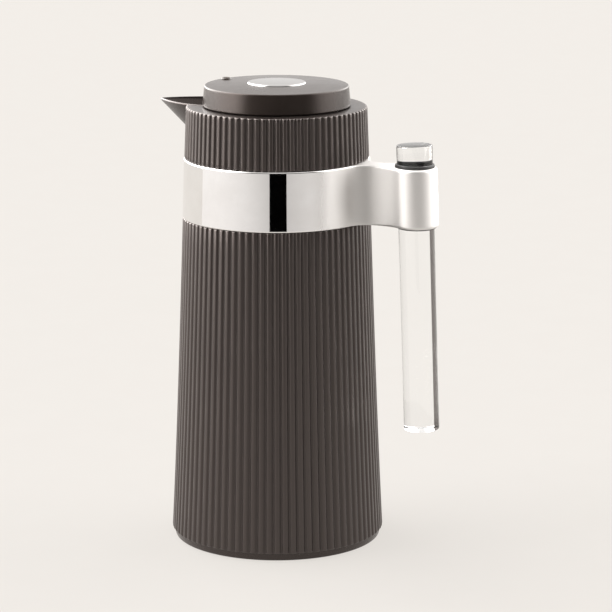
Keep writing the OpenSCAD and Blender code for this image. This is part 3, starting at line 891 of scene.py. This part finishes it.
# How far the view is turned round the jug's axis; light and cards stand relative to it
view_turn = math.radians(23.75)
towards_camera = Vector((math.sin(view_turn), -math.cos(view_turn), 0))
to_the_right = Vector((math.cos(view_turn), math.sin(view_turn), 0))


def make_floor():
    """A plain pale floor that is mostly lit from itself, so that the jug's shadow stays faint."""
    floor_r = 14000
    n = Nodes("paper_floor", Roughness=0.9, Specular_IOR_Level=0.0)
    n.shader.inputs["Emission Color"].default_value = (0.913, 0.871, 0.823, 1)
    n.shader.inputs["Emission Strength"].default_value = 0.74
    fibre = n.noise(30, 5)
    tone = n.mix(n.ramp(fibre, 0, 1), (0.064, 0.063, 0.061), (0.067, 0.066, 0.064))
    material = n.to(Base_Color=tone, Normal=n.bump(n.noise(900, 3), 0.05, 0.0001))
    outline = arc((0, 0), floor_r, 0, 360, 65)[:-1]
    points = np.column_stack([outline, np.zeros(len(outline))])
    floor = make("floor", points, [tuple(range(len(outline)))], material)


def make_card(name, radius, start, stop, brightness):
    """An upright curved card in front of the jug that only its reflections see.

    It goes from start to stop, in degrees to the right of the camera, at a radius in millimetres.
    Brightness is a function of that angle."""
    height = 190
    material = bpy.data.materials.new(name)
    material.use_nodes = True
    shader = material.node_tree.nodes["Principled BSDF"]
    shader.inputs["Base Color"].default_value = (0, 0, 0, 1)
    shader.inputs["Specular IOR Level"].default_value = 0
    level = material.node_tree.nodes.new("ShaderNodeAttribute")
    level.attribute_name = "brightness"
    material.node_tree.links.new(level.outputs["Color"], shader.inputs["Emission Color"])
    shader.inputs["Emission Strength"].default_value = 1
    degrees = np.linspace(start, stop, 60)
    angles = np.radians(degrees)[:, None]
    foot = radius * (np.cos(angles) * np.array(towards_camera)
                     + np.sin(angles) * np.array(to_the_right))
    points = np.concatenate([foot, foot + [0, 0, height]])
    count = len(foot)
    faces = [(i, i + 1, i + 1 + count, i + count) for i in range(count - 1)]
    card = make(name, points, faces, material)
    tint = card.data.color_attributes.new("brightness", "FLOAT_COLOR", "POINT")
    for i, value in enumerate([brightness(a) for a in degrees] * 2):
        tint.data[i].color = (value, value * 0.965, value * 0.94, 1)
    card.visible_camera = False
    card.visible_diffuse = False
    card.visible_shadow = False
    card.visible_transmission = False


def tent_brightness(angle):
    """The tent's wall is darkest near the camera; its left side is lit more than its right."""
    side = 0.46 if angle < 0 else 0.27
    return 0.60 + side * math.sin(math.radians(min(90, abs(angle))))


def make_world():
    """A pale tent with a dark opening on the camera's side.

    Light comes from both sides, mostly from the left, and a little from behind and above."""
    world = bpy.data.worlds.new("studio")
    world.use_nodes = True
    bpy.context.scene.world = world
    tree = world.node_tree
    tree.nodes.clear()
    output = tree.nodes.new("ShaderNodeOutputWorld")
    background = tree.nodes.new("ShaderNodeBackground")
    coords = tree.nodes.new("ShaderNodeTexCoord")

    def glow(direction, start, stop, level):
        """Light that rises to level as the ray turns towards a direction."""
        dot = tree.nodes.new("ShaderNodeVectorMath")
        dot.operation = "DOT_PRODUCT"
        tree.links.new(coords.outputs["Generated"], dot.inputs[0])
        dot.inputs[1].default_value = tuple(direction)
        ramp = tree.nodes.new("ShaderNodeMapRange")
        ramp.interpolation_type = "SMOOTHSTEP"
        tree.links.new(dot.outputs["Value"], ramp.inputs["Value"])
        ramp.inputs["From Min"].default_value = start
        ramp.inputs["From Max"].default_value = stop
        ramp.inputs["To Max"].default_value = level
        return ramp.outputs["Result"]

    def total(sockets):
        """The sum of several sockets."""
        result = sockets[0]
        for socket in sockets[1:]:
            node = tree.nodes.new("ShaderNodeMath")
            tree.links.new(result, node.inputs[0])
            tree.links.new(socket, node.inputs[1])
            result = node.outputs[0]
        return result

    up = Vector((0, 0, 1))
    from_left = (up * 0.25 - to_the_right - towards_camera * 0.35).normalized()
    from_right = (up * 0.25 + to_the_right - towards_camera * 0.45).normalized()
    lights = [glow(towards_camera, 0.5, -0.5, 0.35), glow(from_left, 0.42, 0.8, 8.5),
              glow(from_right, 0.5, 0.88, 4.6), glow(-towards_camera, 0.3, 0.95, 0.65),
              glow(up, 0.6, 0.95, 1.3)]
    tree.links.new(total(lights), background.inputs["Strength"])
    background.inputs["Color"].default_value = (1.0, 0.975, 0.955, 1)
    tree.links.new(background.outputs["Background"], output.inputs["Surface"])


def make_camera():
    """The photograph's view: a long lens, a little right of the jug's axis, looking slightly down."""
    distance, aside, height, pitch_down = 1.712, 0.0183, 0.531, 12.607
    data = bpy.data.cameras.new("camera")
    data.sensor_width = 36
    data.lens = 162.8
    data.clip_start = 0.05
    data.clip_end = 50
    camera = bpy.data.objects.new("camera", data)
    camera.location = (towards_camera * distance + to_the_right * aside
                       + Vector((0, 0, height)))
    camera.rotation_euler = (math.radians(90 - pitch_down), 0, view_turn)
    bpy.context.collection.objects.link(camera)
    bpy.context.scene.camera = camera


make_camera()
make_casing()
make_collar()
make_foot()
make_strap()
make_bushes()
make_rod()
make_lid()
make_mark()
make_button()
make_spring()
finish_carried_nodes()

make_floor()
make_world()
make_card("dark_card", 950, -8, 12, lambda angle: 0.0)
make_card("tent_wall", 970, -100, 100, tent_brightness)
bpy.context.scene.view_settings.view_transform = "Standard"
